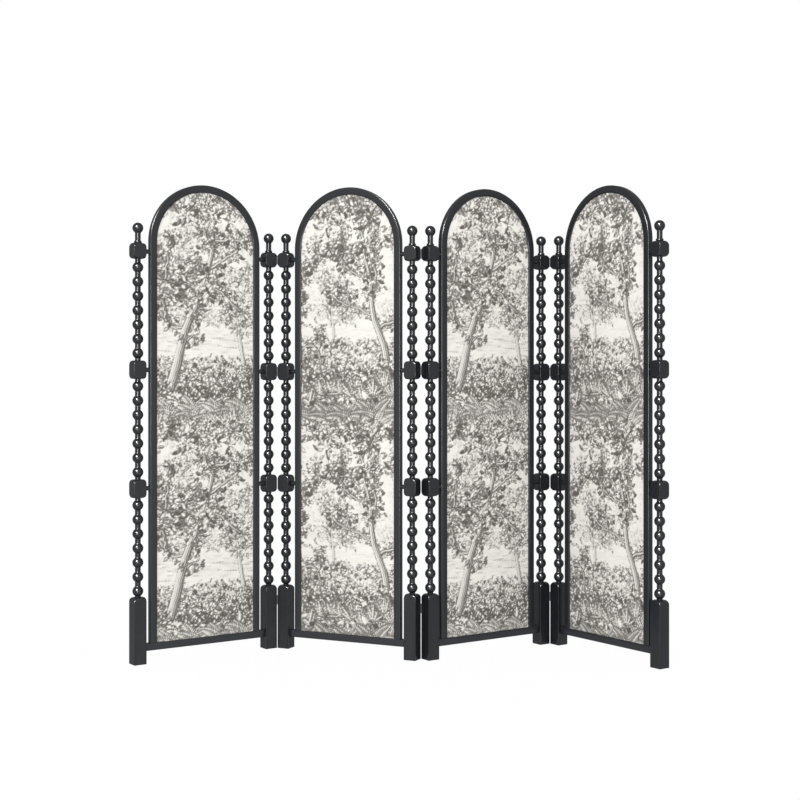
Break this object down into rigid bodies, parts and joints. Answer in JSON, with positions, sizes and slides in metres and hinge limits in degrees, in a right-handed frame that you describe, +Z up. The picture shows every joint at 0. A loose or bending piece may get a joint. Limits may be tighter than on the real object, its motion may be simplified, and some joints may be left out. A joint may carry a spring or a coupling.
{
  "type": "folding screen",
  "caption": "Folding screen with bobbin-turned posts and arch-topped panels that carry an engraved foliage print, hinged post to post in a zigzag.",
  "frame": {"origin": "on the floor, under the middle of the folded screen's box", "axes": "+X along the row of panels to the right as seen from the front, +Y to the back, +Z up"},
  "size_m": [1.9726, 0.5606, 1.795],
  "materials": {
    "black_lacquered_wood": "satin black lacquer",
    "printed_paper": "matte off-white paper with a warm grey engraved print",
    "lined_board": "thin board lined with plain off-white paper",
    "blackened_steel": "black painted steel",
    "steel_pin": "plain steel"
  },
  "bodies": {
    "panel_1": {"panel_1_post_left": "black_lacquered_wood", "panel_1_post_right": "black_lacquered_wood", "panel_1_arched_frame": "black_lacquered_wood", "panel_1_bottom_rail": "black_lacquered_wood", "panel_1_paper": "printed_paper", "panel_1_board": "lined_board", "panel_1_beads": "black_lacquered_wood", "panel_1_dowels_left": "black_lacquered_wood", "panel_1_dowels_right": "black_lacquered_wood", "fold_1_2_leaves_left": "blackened_steel"},
    "panel_2": {"panel_2_post_left": "black_lacquered_wood", "panel_2_post_right": "black_lacquered_wood", "panel_2_arched_frame": "black_lacquered_wood", "panel_2_bottom_rail": "black_lacquered_wood", "panel_2_paper": "printed_paper", "panel_2_board": "lined_board", "panel_2_beads": "black_lacquered_wood", "panel_2_dowels_left": "black_lacquered_wood", "panel_2_dowels_right": "black_lacquered_wood", "fold_1_2_leaves_right": "blackened_steel", "fold_1_2_pins": "steel_pin", "fold_2_3_leaves_left": "blackened_steel", "fold_2_3_pins": "steel_pin"},
    "panel_3": {"panel_3_post_left": "black_lacquered_wood", "panel_3_post_right": "black_lacquered_wood", "panel_3_arched_frame": "black_lacquered_wood", "panel_3_bottom_rail": "black_lacquered_wood", "panel_3_paper": "printed_paper", "panel_3_board": "lined_board", "panel_3_beads": "black_lacquered_wood", "panel_3_dowels_left": "black_lacquered_wood", "panel_3_dowels_right": "black_lacquered_wood", "fold_2_3_leaves_right": "blackened_steel", "fold_3_4_leaves_left": "blackened_steel", "fold_3_4_pins": "steel_pin"},
    "panel_4": {"panel_4_post_left": "black_lacquered_wood", "panel_4_post_right": "black_lacquered_wood", "panel_4_arched_frame": "black_lacquered_wood", "panel_4_bottom_rail": "black_lacquered_wood", "panel_4_paper": "printed_paper", "panel_4_board": "lined_board", "panel_4_beads": "black_lacquered_wood", "panel_4_dowels_left": "black_lacquered_wood", "panel_4_dowels_right": "black_lacquered_wood", "fold_3_4_leaves_right": "blackened_steel"}
  },
  "joints": [
    {"name": "fold_1_2", "type": "hinge", "parent": "panel_2", "child": "panel_1", "pos_m": [-0.44327, 0.23772, 0], "axis": [0, 0, 1], "range_deg": [-60, 120]},
    {"name": "fold_2_3", "type": "hinge", "parent": "panel_2", "child": "panel_3", "pos_m": [0.10047, -0.01847, 0], "axis": [0, 0, 1], "range_deg": [-60, 120]},
    {"name": "fold_3_4", "type": "hinge", "parent": "panel_3", "child": "panel_4", "pos_m": [0.64422, 0.23772, 0], "axis": [0, 0, 1], "range_deg": [-90, 90]}
  ]
}
